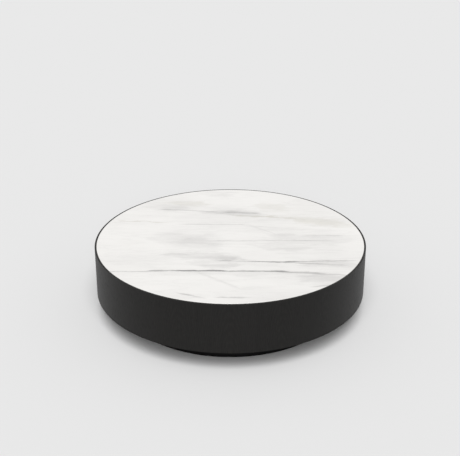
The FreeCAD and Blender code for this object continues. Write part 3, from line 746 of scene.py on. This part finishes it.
def zinc_plate(hardware):
    """Bright zinc on steel, dull in patches, made once for all hardware."""
    made = bpy.data.materials.get(ZINC_NAME)
    if made:
        return made
    finish = Finish(ZINC_NAME)
    place = finish.place()
    patch = finish.noise(place, scale=220.0, detail=4.0, roughness=0.6)
    colour = finish.mix(finish.ramp(patch, 0.35, 0.75), hardware.zinc, hardware.dull_zinc)
    rough = finish.ramp(patch, 0.3, 0.75, start=0.26, end=0.48)
    finish.relief(finish.noise(place, scale=1500.0), PLATED_DEPTH, strength=0.3)
    return finish.done(Base_Color=colour, Metallic=1.0, Roughness=rough)


def glide_nylon(hardware):
    """Black nylon, scuffed where it rubs on the floor."""
    finish = Finish("glide nylon")
    place = finish.place()
    height = finish.parts(place)[2]
    speck = finish.noise(place, scale=700.0, detail=3.0, roughness=0.6)
    patch = finish.ramp(finish.noise(place, scale=180.0, detail=4.0), 0.4, 0.7)
    scuff = finish.times(finish.ramp(height, PAD_SCUFF_HEIGHT, 0.0), patch)
    wear = finish.larger(scuff, finish.ramp(speck, 0.5, 0.8, end=0.3))
    colour = finish.mix(wear, hardware.nylon, hardware.scuffed)
    finish.relief(speck, MOULDED_DEPTH, strength=0.5)
    return finish.done(Base_Color=colour, Roughness=finish.ramp(speck, 0.3, 0.7, start=0.42, end=0.6))


# Modelling

def only(kind, geometry):
    """The points, edges or faces among mixed geometry."""
    return [item for item in geometry if isinstance(item, kind)]


def close_up(bm):
    """Merges doubled points, and then turns every face outwards."""
    bmesh.ops.remove_doubles(bm, verts=bm.verts, dist=MERGE_DISTANCE)
    bmesh.ops.recalc_face_normals(bm, faces=bm.faces)
    return bm


def turned(outline, steps, soft=(), radius=0.0, sweep=FULL_TURN, start=0.0):
    """An outline of radii and heights, its soft corners rounded, spun about Z from a starting angle."""
    bm = bmesh.new()
    corners = [bm.verts.new((reach, 0.0, height)) for reach, height in outline]
    bm.faces.new(corners)
    if soft:
        bmesh.ops.bevel(bm, geom=[corners[index] for index in soft], offset=radius, offset_type="OFFSET",
                        segments=ROUND_SEGMENTS, profile=0.5, affect="VERTICES", material=-1)
    bmesh.ops.delete(bm, geom=bm.faces[:], context="FACES_ONLY")
    bmesh.ops.rotate(bm, verts=bm.verts, cent=ORIGIN, matrix=Matrix.Rotation(start, 3, "Z"))
    whole = sweep == FULL_TURN
    bmesh.ops.spin(bm, geom=bm.verts[:] + bm.edges[:], cent=ORIGIN, axis=UP, angle=sweep, steps=steps,
                   use_merge=whole)
    if not whole:
        bmesh.ops.holes_fill(bm, edges=[edge for edge in bm.edges if edge.is_boundary])
    return close_up(bm)


def ring_outline(inner, outer, low, high):
    """The four corners of a ring's section: inner low, outer low, outer high, inner high."""
    return [(inner, low), (outer, low), (outer, high), (inner, high)]


def lay_grain(bm, radius):
    """Lays the grain map in metres: along the arc, and up and over the edges."""
    layer = bm.loops.layers.uv.new(GRAIN_MAP)
    for face in bm.faces:
        middle = face.calc_center_median()
        turn = atan2(middle.y, middle.x)
        for loop in face.loops:
            near = Matrix.Rotation(-turn, 3, "Z") @ loop.vert.co
            loop[layer].uv = ((turn + atan2(near.y, near.x)) * radius, near.z + radius - near.xy.length)
    return bm


def thread_ridge(bm, root, crest, pitch, low, high):
    """Adds a screw thread between two heights to what the mesh holds."""
    turns = (high - low) / pitch - 1
    outline = ((root, -RIDGE_FOOT), (crest, -RIDGE_CREST), (crest, RIDGE_CREST), (root, RIDGE_FOOT))
    points = [bm.verts.new((reach, 0.0, low + (0.5 + rise) * pitch)) for reach, rise in outline]
    edges = [bm.edges.new(pair) for pair in zip(points, points[1:] + points[:1])]
    steps = round(turns * THREAD_STEPS)
    made = bmesh.ops.spin(bm, geom=points + edges, cent=ORIGIN, axis=UP, dvec=UP * (pitch * turns / steps),
                          angle=turns * FULL_TURN, steps=steps)
    bmesh.ops.holes_fill(bm, edges=edges + only(BMEdge, made["geom_last"]))


def level_faces(bm):
    """The faces that lie level at the origin's height."""
    return [face for face in bm.faces if all(abs(vert.co.z) < MERGE_DISTANCE for vert in face.verts)]


def hex_loop(bm, across):
    """A hexagon's points and edges at the origin's height, from its width over the flats."""
    verts = bmesh.ops.create_circle(bm, segments=6, radius=across / sqrt(3))["verts"]
    return verts, list(dict.fromkeys(edge for vert in verts for edge in vert.link_edges))


def set_out(bm, spots):
    """Copies what the mesh holds, modelled about the origin, to every spot."""
    first = bm.verts[:] + bm.edges[:] + bm.faces[:]
    for spot in spots[1:]:
        copy = bmesh.ops.duplicate(bm, geom=first)["geom"]
        bmesh.ops.translate(bm, verts=only(BMVert, copy), vec=spot)
    bmesh.ops.translate(bm, verts=only(BMVert, first), vec=spots[0])
    return bm


def solid_boxes(node):
    """The lowest and highest corners of each separate solid in a CAD node."""
    bm = bmesh.new()
    bm.from_mesh(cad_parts[node].data)
    bmesh.ops.remove_doubles(bm, verts=bm.verts, dist=MERGE_DISTANCE)
    boxes = []
    waiting = set(bm.verts)
    while waiting:
        stack = [waiting.pop()]
        corners = []
        while stack:
            vert = stack.pop()
            corners.append(vert.co.copy())
            beside = {edge.other_vert(vert) for edge in vert.link_edges} & waiting
            waiting -= beside
            stack.extend(beside)
        boxes.append((Vector(map(min, zip(*corners))), Vector(map(max, zip(*corners)))))
    bm.free()
    return sorted(boxes, key=lambda box: tuple(round(number, SORT_DIGITS) for number in box[0]))


def round_size(box):
    """The radius and the height of a round solid, from its corners."""
    low, high = box
    return (high.x - low.x) / 2, high.z - low.z


def foot_spots(boxes, height=0.0):
    """The middles of boxes, at one height above their lower faces."""
    return [Vector(((low.x + high.x) / 2, (low.y + high.y) / 2, low.z + height)) for low, high in boxes]


def new_mesh(name, bm, material):
    """A mesh of what the bmesh holds, with its material."""
    mesh = bpy.data.meshes.new(name)
    bm.to_mesh(mesh)
    bm.free()
    mesh.materials.append(material)
    return mesh


def placed(name, data):
    """A new object in the scene."""
    made = bpy.data.objects.new(name, data)
    bpy.context.scene.collection.objects.link(made)
    return made


def new_piece(name, bm, material, stands_for, body="table"):
    """Makes a piece of what the mesh holds, in the place of CAD nodes and on their body."""
    mesh = new_mesh(name, bm, material)
    mesh.shade_smooth()
    mesh.set_sharp_from_angle(angle=SHARP_ANGLE)
    piece = placed(name, mesh)
    piece.modifiers.new("even shading", "WEIGHTED_NORMAL").keep_sharp = True
    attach(piece, body)
    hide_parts(*stands_for)


def dress(nodes, material):
    """Gives CAD nodes a material."""
    for node in nodes:
        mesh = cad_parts[node].data
        mesh.materials.clear()
        mesh.materials.append(material)


# Pieces

class TablePiece:
    """What the operators share: each can be undone."""

    bl_options = {"REGISTER", "UNDO"}


class TABLE_OT_stone_slab(TablePiece, Operator):
    """Turn the veined slab with its rounded edges"""

    bl_idname = "cocktail_table.stone_slab"
    bl_label = "Stone Slab"

    def execute(self, context):
        stone = context.scene.cocktail_table.stone
        low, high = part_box("marble_top")
        outline = ring_outline(0.0, high.x, low.z, high.z)
        bm = turned(outline, DRUM_STEPS, soft=(OUTER_LOW, OUTER_HIGH), radius=stone.edge_radius)
        new_piece("stone_slab", bm, veined_stone(stone), ["marble_top"])
        return {"FINISHED"}


class TABLE_OT_slab_bumpers(TablePiece, Operator):
    """Turn the soft discs that the slab beds on"""

    bl_idname = "cocktail_table.slab_bumpers"
    bl_label = "Slab Bumpers"

    def execute(self, context):
        material = soft_bumper(context.scene.cocktail_table.carcase)
        boxes = solid_boxes("slab_bumpers")
        radius, height = round_size(boxes[0])
        bm = turned(ring_outline(0.0, radius, 0.0, height), HARDWARE_STEPS, soft=(OUTER_LOW, OUTER_HIGH),
                    radius=BUMPER_ROUNDING * height)
        new_piece("soft_bumpers", set_out(bm, foot_spots(boxes)), material, ["slab_bumpers"])
        return {"FINISHED"}


class TABLE_OT_veneer(TablePiece, Operator):
    """Wrap the drum in two halves of black oak veneer"""

    bl_idname = "cocktail_table.veneer"
    bl_label = "Oak Veneer"

    def execute(self, context):
        veneer = context.scene.cocktail_table.veneer
        material = veneer_finish(veneer)
        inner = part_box("side_shell_front")[1].x
        for half, start in HALVES.items():
            node = f"oak_veneer_{half}"
            low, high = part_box(node)
            bm = turned(ring_outline(inner, high.x, low.z, high.z), DRUM_STEPS // 2,
                        soft=(OUTER_LOW, OUTER_HIGH), radius=veneer.easing, sweep=pi, start=start)
            new_piece(f"black_oak_{half}", lay_grain(bm, high.x), material, [node])
        return {"FINISHED"}


class TABLE_OT_lippings(TablePiece, Operator):
    """Turn the solid strips on the shell's upper and lower edges"""

    bl_idname = "cocktail_table.lippings"
    bl_label = "Lippings"

    def execute(self, context):
        veneer = context.scene.cocktail_table.veneer
        material = lipping_finish(veneer)
        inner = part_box("marble_top")[1].x + SLAB_GAP
        for node, corner in (("rim_lipping", INNER_HIGH), ("bottom_lipping", INNER_LOW)):
            low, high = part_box(node)
            bm = turned(ring_outline(inner, high.x, low.z, high.z), DRUM_STEPS, soft=(corner,),
                        radius=veneer.easing)
            new_piece(f"oak_{node}", lay_grain(bm, high.x), material, [node])
        return {"FINISHED"}


class TABLE_OT_plinth(TablePiece, Operator):
    """Bend the plinth's two sides, and lacquer all that is black under the drum"""

    bl_idname = "cocktail_table.plinth"
    bl_label = "Plinth"

    def execute(self, context):
        lacquer = context.scene.cocktail_table.lacquer
        material = black_lacquer(lacquer)
        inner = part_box("plinth_base_plate")[1].x + GLUE_LINE
        for half, start in HALVES.items():
            node = f"plinth_side_{half}"
            low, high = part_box(node)
            bm = turned(ring_outline(inner, high.x, low.z, high.z), DRUM_STEPS // 2,
                        soft=(INNER_LOW, OUTER_LOW), radius=lacquer.edge_radius, sweep=pi, start=start)
            new_piece(f"plinth_skirt_{half}", bm, material, [node])
        dress(["plinth_base_plate", "bottom_panel"], material)
        return {"FINISHED"}


class TABLE_OT_carcase(TablePiece, Operator):
    """Give the boards, shells, posts and battens their wood"""

    bl_idname = "cocktail_table.carcase"
    bl_label = "Carcase"

    def execute(self, context):
        carcase = context.scene.cocktail_table.carcase
        dress(["top_deck", "plinth_top_plate"], birch_ply(carcase, "flat birch ply", "Z"))
        dress(["rib_front", "rib_back"], birch_ply(carcase, "cross rib birch ply", "Y"))
        dress(["rib_left", "rib_right"], birch_ply(carcase, "long rib birch ply", "X"))
        dress(["side_shell_front", "side_shell_back"], birch_ply(carcase, "bent birch ply", "radius"))
        posts = [f"plinth_post_{corner}" for corner in CORNERS]
        dress(["seam_batten_left", "seam_batten_right"] + posts, sawn_pine(carcase))
        return {"FINISHED"}


def in_cross(place):
    """Whether a place on a screw's head lies in its cross recess."""
    near, far = sorted((abs(place.x), abs(place.y)))
    return near < SCREW_SLOT and far < SCREW_RECESS


def wood_screw(radius, length, pitch):
    """A countersunk wood screw that points down from the origin, with a cross recess and a thread."""
    crest = SCREW_SHANK / 2
    root = SCREW_CORE * crest
    rim = SCREW_RIM * radius
    neck = radius - crest
    shank = 2 * neck
    tip = SCREW_TIP - length
    outline = [(0.0, 0.0), (radius - rim, 0.0), (radius, -rim), (crest, -neck), (crest, -shank),
               (root, -SCREW_RUNOUT * shank), (root, tip), (0.0, -length)]
    bm = turned(outline, SCREW_STEPS)
    flat = bmesh.ops.dissolve_faces(bm, faces=level_faces(bm))["region"]
    for normal in (Vector((1, 0, 0)), Vector((0, 1, 0))):
        for place in (-SCREW_RECESS, -SCREW_SLOT, SCREW_SLOT, SCREW_RECESS):
            edges = dict.fromkeys(edge for face in flat for edge in face.edges)
            verts = dict.fromkeys(vert for face in flat for vert in face.verts)
            cut = bmesh.ops.bisect_plane(bm, geom=[*flat, *edges, *verts], plane_co=normal * place,
                                         plane_no=normal)
            flat = only(BMFace, cut["geom"])
    cross = [face for face in flat if in_cross(face.calc_center_median())]
    deep = bmesh.ops.extrude_face_region(bm, geom=cross)["geom"]
    bmesh.ops.delete(bm, geom=cross, context="FACES")
    floor = only(BMVert, deep)
    bmesh.ops.translate(bm, verts=floor, vec=-UP * SCREW_RECESS_DEPTH)
    bmesh.ops.scale(bm, verts=floor, vec=(SCREW_RECESS_TAPER, SCREW_RECESS_TAPER, 1.0))
    thread_ridge(bm, SCREW_RIDGE_SINK * root, crest, pitch, tip, -shank)
    return close_up(bm)


class TABLE_OT_wood_screws(TablePiece, Operator):
    """Drive the wood screws of deck, bottom panel and plinth"""

    bl_idname = "cocktail_table.wood_screws"
    bl_label = "Wood Screws"

    def execute(self, context):
        hardware = context.scene.cocktail_table.hardware
        material = zinc_plate(hardware)
        for node in ("deck_screws", "plate_screws", "bottom_panel_screws", "base_plate_screws"):
            points_up = node in ("bottom_panel_screws", "base_plate_screws")
            boxes = solid_boxes(node)
            radius, length = round_size(boxes[0])
            bm = wood_screw(radius, length, hardware.screw_pitch)
            if points_up:
                bmesh.ops.rotate(bm, verts=bm.verts, cent=ORIGIN, matrix=Matrix.Rotation(pi, 3, "X"))
            spots = foot_spots(boxes, 0.0 if points_up else length)
            new_piece(f"zinc_{node}", set_out(bm, spots), material, [node])
        return {"FINISHED"}


class TABLE_OT_plinth_bolts(TablePiece, Operator):
    """Fit the bolts, washers and tee nuts between plinth and drum, and the glides' tee nuts"""

    bl_idname = "cocktail_table.plinth_bolts"
    bl_label = "Bolts and Nuts"

    def execute(self, context):
        hardware = context.scene.cocktail_table.hardware
        material = zinc_plate(hardware)
        boxes = solid_boxes("plinth_bolts")
        bm = self.bolt(boxes[0], hardware.bolt_pitch)
        new_piece("zinc_bolts", set_out(bm, foot_spots(boxes)), material, ["plinth_bolts"])
        boxes = solid_boxes("bolt_washers")
        radius, height = round_size(boxes[0])
        bore = BOLT_DIAMETER / 2 + WASHER_CLEARANCE
        bm = turned(ring_outline(bore, radius, 0.0, height), HARDWARE_STEPS, soft=RING_CORNERS,
                    radius=STEEL_EASING)
        new_piece("zinc_washers", set_out(bm, foot_spots(boxes)), material, ["bolt_washers"])
        nuts = (
            ("bolt_tee_nuts", BOLT_DIAMETER, BOLT_NUT_BARREL),
            ("glide_tee_nuts", STEM_DIAMETER, STEM_NUT_BARREL),
        )
        for node, thread, barrel in nuts:
            boxes = solid_boxes(node)
            bm = self.tee_nut(thread / 2 + NUT_CLEARANCE, barrel / 2, *round_size(boxes[0]))
            new_piece(f"zinc_{node}", set_out(bm, foot_spots(boxes)), material, [node])
        return {"FINISHED"}

    def bolt(self, box, pitch):
        """A hex bolt that stands on its head."""
        low, high = box
        length = high.z - low.z
        crest = BOLT_DIAMETER / 2
        root = crest - METRIC_THREAD_DEPTH * pitch
        foot = BOLT_HEAD - BOLT_SHANK_SINK
        neck = BOLT_HEAD + BOLT_PLAIN_SHANK
        outline = [(0.0, foot), (crest, foot), (crest, neck), (root, neck + crest - root),
                   (root, length - THREAD_TAPER), (root - THREAD_TAPER, length), (0.0, length)]
        bm = turned(outline, HARDWARE_STEPS)
        thread_ridge(bm, METRIC_RIDGE_SINK * root, crest, pitch, neck, length - THREAD_TAPER)
        verts, edges = hex_loop(bm, min(high.x - low.x, high.y - low.y))
        face = bmesh.ops.holes_fill(bm, edges=edges)["faces"]
        top = only(BMVert, bmesh.ops.extrude_face_region(bm, geom=face)["geom"])
        bmesh.ops.translate(bm, verts=top, vec=UP * BOLT_HEAD)
        edges = dict.fromkeys(edge for vert in verts + top for edge in vert.link_edges)
        rims = [edge for edge in edges if abs(edge.verts[0].co.z - edge.verts[1].co.z) < MERGE_DISTANCE]
        bmesh.ops.bevel(bm, geom=rims, offset=BOLT_HEAD_EASING, offset_type="OFFSET",
                        segments=BOLT_HEAD_SEGMENTS, profile=0.5, affect="EDGES", material=-1)
        return close_up(bm)

    def tee_nut(self, bore, barrel, flange, height):
        """A flanged nut that stands on its barrel, eased at all corners but the one under its flange."""
        seat = height - NUT_FLANGE
        outline = [(bore, 0.0), (barrel, 0.0), (barrel, seat), (flange, seat), (flange, height),
                   (bore, height)]
        soft = [index for index, corner in enumerate(outline) if corner != (barrel, seat)]
        return turned(outline, HARDWARE_STEPS, soft=soft, radius=STEEL_EASING)


class TABLE_OT_glide_pads(TablePiece, Operator):
    """Mould the four glide pads"""

    bl_idname = "cocktail_table.glide_pads"
    bl_label = "Glide Pads"

    def execute(self, context):
        material = glide_nylon(context.scene.cocktail_table.hardware)
        for corner in CORNERS:
            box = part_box(f"glide_pad_{corner}")
            collar, _ = round_size(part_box(f"glide_stem_{corner}"))
            bm = self.pad(*round_size(box), collar + COLLAR_CLEARANCE)
            new_piece(f"nylon_pad_{corner}", set_out(bm, foot_spots([box])), material,
                      [f"glide_pad_{corner}"], f"pad_{corner}")
        return {"FINISHED"}

    def pad(self, radius, height, pocket):
        """A pad on the floor, eased outside, with a pocket for the collar and a hole for the key."""
        hole = PAD_KEY_HOLE / 2
        neck = PAD_NECK / 2
        roof = PAD_FLOOR + COLLAR_THICKNESS + COLLAR_CLEARANCE
        outside = [(hole, 0.0), (radius - PAD_BEVEL, 0.0), (radius, PAD_BEVEL), (radius, height),
                   (neck, height)]
        inside = [(neck, roof), (pocket, roof), (pocket, PAD_FLOOR), (hole, PAD_FLOOR)]
        return turned(outside + inside, PAD_STEPS, soft=range(len(outside)), radius=PAD_EASING)


class TABLE_OT_glide_stems(TablePiece, Operator):
    """Turn the four threaded stems with their collars and hex sockets"""

    bl_idname = "cocktail_table.glide_stems"
    bl_label = "Glide Stems"

    def execute(self, context):
        hardware = context.scene.cocktail_table.hardware
        material = zinc_plate(hardware)
        for corner in CORNERS:
            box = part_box(f"glide_stem_{corner}")
            bm = self.stem(*round_size(box), hardware.stem_pitch)
            new_piece(f"zinc_stem_{corner}", set_out(bm, foot_spots([box])), material,
                      [f"glide_stem_{corner}"], f"stem_{corner}")
        return {"FINISHED"}

    def stem(self, collar, length, pitch):
        """A stem that stands on its collar."""
        crest = STEM_DIAMETER / 2
        root = crest - METRIC_THREAD_DEPTH * pitch
        flat = collar - COLLAR_EASING
        outline = [(0.0, 0.0), (flat, 0.0), (collar, COLLAR_EASING),
                   (collar, COLLAR_THICKNESS - COLLAR_EASING), (flat, COLLAR_THICKNESS),
                   (root, COLLAR_THICKNESS), (root, length - THREAD_TAPER), (root - THREAD_TAPER, length),
                   (0.0, length)]
        bm = turned(outline, HARDWARE_STEPS)
        under = level_faces(bm)
        edges = [edge for face in under for edge in face.edges]
        rim = [edge for edge in edges if sum(face in under for face in edge.link_faces) == 1]
        bmesh.ops.delete(bm, geom=under, context="FACES")
        _, socket = hex_loop(bm, KEY_ACROSS)
        bmesh.ops.triangle_fill(bm, edges=rim + socket, use_beauty=True, normal=-UP)
        walls = bmesh.ops.extrude_edge_only(bm, edges=socket)["geom"]
        bmesh.ops.translate(bm, verts=only(BMVert, walls), vec=UP * KEY_DEPTH)
        bmesh.ops.holes_fill(bm, edges=only(BMEdge, walls))
        thread_ridge(bm, METRIC_RIDGE_SINK * root, crest, pitch, COLLAR_THICKNESS + THREAD_MARGIN,
                     length - THREAD_MARGIN)
        return close_up(bm)


class TABLE_OT_stage(TablePiece, Operator):
    """Lay the floor, light it softly and set up the camera"""

    bl_idname = "cocktail_table.stage"
    bl_label = "Stage"

    def execute(self, context):
        stage = context.scene.cocktail_table.stage
        self.lay_floor(stage)
        self.light(stage)
        self.set_camera(stage)
        context.scene.view_settings.view_transform = "Standard"
        return {"FINISHED"}

    def lay_floor(self, stage):
        """A pale floor that is seen from above only."""
        bm = bmesh.new()
        bmesh.ops.create_circle(bm, segments=FLOOR_STEPS, radius=stage.floor_radius, cap_ends=True)
        finish = Finish("pale floor")
        clear = finish.node("ShaderNodeBsdfTransparent").outputs[0]
        under = finish.node("ShaderNodeNewGeometry").outputs["Backfacing"]
        shown = finish.node("ShaderNodeMixShader", {0: under, 1: finish.surface.outputs[0], 2: clear})
        finish.feed(finish.tree.nodes["Material Output"], {"Surface": shown.outputs[0]})
        material = finish.done(Base_Color=opaque(stage.floor), Roughness=1.0, Specular_IOR_Level=0.0)
        floor = placed("floor", new_mesh("floor", bm, material))

    def light(self, stage):
        """Even white light, the floor's colour behind what is seen or mirrored, and two front lights."""
        world = bpy.data.worlds.new("soft studio")
        world.use_nodes = True
        bpy.context.scene.world = world
        graph = Graph(world.node_tree)
        lamp = world.node_tree.nodes["Background"]
        graph.feed(lamp, {"Color": WHITE, "Strength": stage.light * stage.fill})
        backdrop = graph.node("ShaderNodeBackground", {"Color": opaque(stage.floor), "Strength": 1.0})
        ray = graph.node("ShaderNodeLightPath").outputs
        mirrored = graph.larger(ray["Is Glossy Ray"], ray["Is Transmission Ray"])
        seen = graph.larger(ray["Is Camera Ray"], mirrored)
        shown = graph.node("ShaderNodeMixShader", {0: seen, 1: lamp.outputs[0], 2: backdrop.outputs[0]})
        graph.feed(world.node_tree.nodes["World Output"], {"Surface": shown.outputs[0]})
        upper = 1.0 - stage.fill - stage.low
        self.hang_lamp("upper front light", stage.key_height, stage.key_spread, stage.light * upper)
        self.hang_lamp("lower front light", stage.low_height, stage.low_spread, stage.light * stage.low)

    def hang_lamp(self, name, height, spread, share):
        """A soft lamp in front, strong enough to give the floor its share of the light."""
        data = bpy.data.lights.new(name, "SUN")
        data.angle = spread
        data.energy = share * pi / sin(height)
        lamp = placed(name, data)
        lamp.rotation_euler = (pi / 2 - height, 0.0, 0.0)

    def set_camera(self, stage):
        """The photograph's view, from the front and a little above."""
        data = bpy.data.cameras.new("camera")
        data.lens = stage.lens
        camera = placed("camera", data)
        back = Vector((0.0, -cos(stage.elevation), sin(stage.elevation)))
        camera.location = Vector((stage.aside, 0.0, stage.aim)) + back * stage.distance
        camera.rotation_euler = (-back).to_track_quat("-Z", "Y").to_euler()
        bpy.context.scene.camera = camera


OPERATORS = (
    TABLE_OT_stage,
    TABLE_OT_stone_slab,
    TABLE_OT_slab_bumpers,
    TABLE_OT_veneer,
    TABLE_OT_lippings,
    TABLE_OT_plinth,
    TABLE_OT_carcase,
    TABLE_OT_wood_screws,
    TABLE_OT_plinth_bolts,
    TABLE_OT_glide_pads,
    TABLE_OT_glide_stems,
)


class TABLE_PT_pieces(Panel):
    """Lists the table's pieces and what can be changed about them"""

    bl_idname = "TABLE_PT_pieces"
    bl_label = "Round Cocktail Table"
    bl_space_type = "VIEW_3D"
    bl_region_type = "UI"
    bl_category = "Table"

    def draw(self, context):
        table = context.scene.cocktail_table
        for operator in OPERATORS:
            self.layout.operator(operator.bl_idname)
        for name in TableSettings.__annotations__:
            box = self.layout.box()
            box.label(text=name.title())
            group = getattr(table, name)
            for value in type(group).__annotations__:
                box.prop(group, value)


CLASSES = (
    StoneSettings,
    VeneerSettings,
    LacquerSettings,
    CarcaseSettings,
    HardwareSettings,
    StageSettings,
    TableSettings,
    *OPERATORS,
    TABLE_PT_pieces,
)


def register():
    """Registers the classes and the scene's settings."""
    for item in CLASSES:
        bpy.utils.register_class(item)
    bpy.types.Scene.cocktail_table = PointerProperty(type=TableSettings)


def unregister():
    """Takes them away again."""
    del bpy.types.Scene.cocktail_table
    for item in reversed(CLASSES):
        bpy.utils.unregister_class(item)


def main():
    """Makes the table on its stage."""
    register()
    bpy.ops.cocktail_table.stage()
    bpy.ops.cocktail_table.stone_slab()
    bpy.ops.cocktail_table.slab_bumpers()
    bpy.ops.cocktail_table.veneer()
    bpy.ops.cocktail_table.lippings()
    bpy.ops.cocktail_table.plinth()
    bpy.ops.cocktail_table.carcase()
    bpy.ops.cocktail_table.wood_screws()
    bpy.ops.cocktail_table.plinth_bolts()
    bpy.ops.cocktail_table.glide_pads()
    bpy.ops.cocktail_table.glide_stems()


if __name__ == "__main__":
    main()
